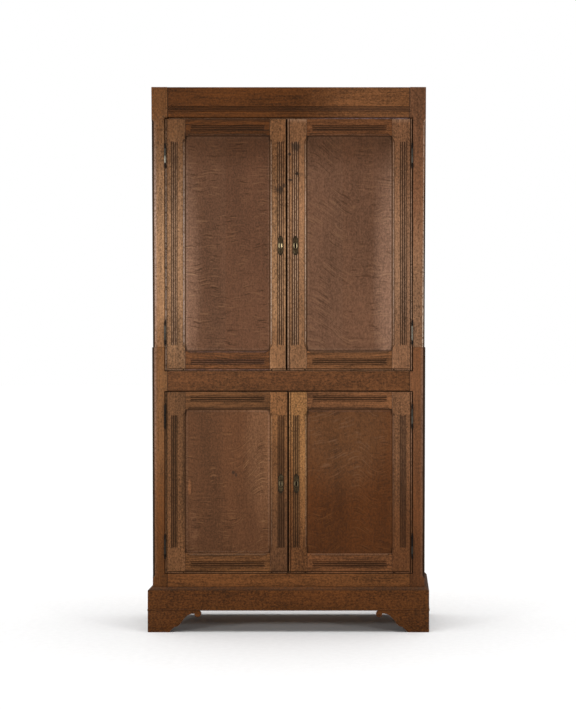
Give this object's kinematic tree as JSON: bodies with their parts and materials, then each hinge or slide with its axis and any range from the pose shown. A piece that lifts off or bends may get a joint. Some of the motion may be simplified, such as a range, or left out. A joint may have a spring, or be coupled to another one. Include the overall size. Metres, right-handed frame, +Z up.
{
  "type": "linen press",
  "caption": "Tall oak linen press in two tiers, with framed and reeded doors, stopped chamfers, a bevelled plinth and scrolled bracket feet.",
  "frame": {"origin": "on the floor under the middle of the press's bounding box", "axes": "+X to the right as seen from the front, +Y to the back, +Z up; the doors open towards -Y"},
  "size_m": [1.035, 0.4684, 2],
  "materials": {
    "post_oak": "waxed golden brown oak, light wear on the arrises",
    "stile_oak": "waxed golden oak with fine dark pores",
    "rail_oak": "dark stained and waxed oak",
    "panel_oak": "quarter-sawn oak, brown, satin wax",
    "plinth_oak": "dark stained oak, satin wax",
    "inner_oak": "plain unpolished oak",
    "hinge_iron": "dark iron, worn bright on the barrels",
    "plate_bronze": "dark patinated cast bronze",
    "lock_iron": "dark forged iron"
  },
  "bodies": {
    "carcase": {"lower_post_left": "post_oak", "lower_post_right": "post_oak", "upper_post_left": "post_oak", "upper_post_right": "post_oak", "rear_posts": "post_oak", "lower_rail": "rail_oak", "middle_rail": "rail_oak", "top_rail": "rail_oak", "side_rails": "post_oak", "side_panels": "panel_oak", "bottom_board": "inner_oak", "middle_board": "inner_oak", "top_board": "inner_oak", "shelves": "inner_oak", "shelf_cleats": "inner_oak", "back_boards": "inner_oak", "plinth_boards": "plinth_oak", "plinth_bead": "plinth_oak", "front_foot_left": "plinth_oak", "front_foot_right": "plinth_oak", "rear_feet": "plinth_oak", "post_hinge_halves": "hinge_iron"},
    "lower_left_door": {"lower_left_hinge_stile": "stile_oak", "lower_left_meeting_stile": "stile_oak", "lower_left_top_rail": "rail_oak", "lower_left_bottom_rail": "rail_oak", "lower_left_panel": "panel_oak", "lower_left_hinge_halves": "hinge_iron", "lower_left_keyhole_plate": "plate_bronze", "lower_left_ironwork": "lock_iron"},
    "lower_left_top_slide_bolt": {"lower_left_top_bolt": "lock_iron"},
    "lower_left_bottom_slide_bolt": {"lower_left_bottom_bolt": "lock_iron"},
    "lower_right_door": {"lower_right_hinge_stile": "stile_oak", "lower_right_meeting_stile": "stile_oak", "lower_right_top_rail": "rail_oak", "lower_right_bottom_rail": "rail_oak", "lower_right_panel": "panel_oak", "lower_right_hinge_halves": "hinge_iron", "lower_right_keyhole_plate": "plate_bronze", "lower_right_lock": "lock_iron"},
    "lower_lock_bolt": {"lower_right_lock_bolt": "lock_iron"},
    "upper_left_door": {"upper_left_hinge_stile": "stile_oak", "upper_left_meeting_stile": "stile_oak", "upper_left_top_rail": "rail_oak", "upper_left_bottom_rail": "rail_oak", "upper_left_panel": "panel_oak", "upper_left_hinge_halves": "hinge_iron", "upper_left_keyhole_plate": "plate_bronze", "upper_left_ironwork": "lock_iron"},
    "upper_left_top_slide_bolt": {"upper_left_top_bolt": "lock_iron"},
    "upper_left_bottom_slide_bolt": {"upper_left_bottom_bolt": "lock_iron"},
    "upper_right_door": {"upper_right_hinge_stile": "stile_oak", "upper_right_meeting_stile": "stile_oak", "upper_right_top_rail": "rail_oak", "upper_right_bottom_rail": "rail_oak", "upper_right_panel": "panel_oak", "upper_right_hinge_halves": "hinge_iron", "upper_right_keyhole_plate": "plate_bronze", "upper_right_lock": "lock_iron"},
    "upper_lock_bolt": {"upper_right_lock_bolt": "lock_iron"}
  },
  "joints": [
    {"name": "lower_left_door_hinge", "type": "hinge", "parent": "carcase", "child": "lower_left_door", "pos_m": [-0.4535, -0.21995, 0.5487], "axis": [0, 0, -1], "range_deg": [0, 170]},
    {"name": "lower_left_top_bolt_slide", "type": "slide", "parent": "lower_left_door", "child": "lower_left_top_slide_bolt", "axis": [0, 0, 1], "range_m": [0, 0.012]},
    {"name": "lower_left_bottom_bolt_slide", "type": "slide", "parent": "lower_left_door", "child": "lower_left_bottom_slide_bolt", "axis": [0, 0, -1], "range_m": [0, 0.012]},
    {"name": "lower_right_door_hinge", "type": "hinge", "parent": "carcase", "child": "lower_right_door", "pos_m": [0.4535, -0.21995, 0.5487], "axis": [0, 0, 1], "range_deg": [0, 170]},
    {"name": "lower_lock_bolt_slide", "type": "slide", "parent": "lower_right_door", "child": "lower_lock_bolt", "axis": [-1, 0, 0], "range_m": [0, 0.01]},
    {"name": "upper_left_door_hinge", "type": "hinge", "parent": "carcase", "child": "upper_left_door", "pos_m": [-0.4535, -0.21995, 1.42], "axis": [0, 0, -1], "range_deg": [0, 170]},
    {"name": "upper_left_top_bolt_slide", "type": "slide", "parent": "upper_left_door", "child": "upper_left_top_slide_bolt", "axis": [0, 0, 1], "range_m": [0, 0.012]},
    {"name": "upper_left_bottom_bolt_slide", "type": "slide", "parent": "upper_left_door", "child": "upper_left_bottom_slide_bolt", "axis": [0, 0, -1], "range_m": [0, 0.012]},
    {"name": "upper_right_door_hinge", "type": "hinge", "parent": "carcase", "child": "upper_right_door", "pos_m": [0.4535, -0.21995, 1.42], "axis": [0, 0, 1], "range_deg": [0, 170]},
    {"name": "upper_lock_bolt_slide", "type": "slide", "parent": "upper_right_door", "child": "upper_lock_bolt", "axis": [-1, 0, 0], "range_m": [0, 0.01]}
  ]
}
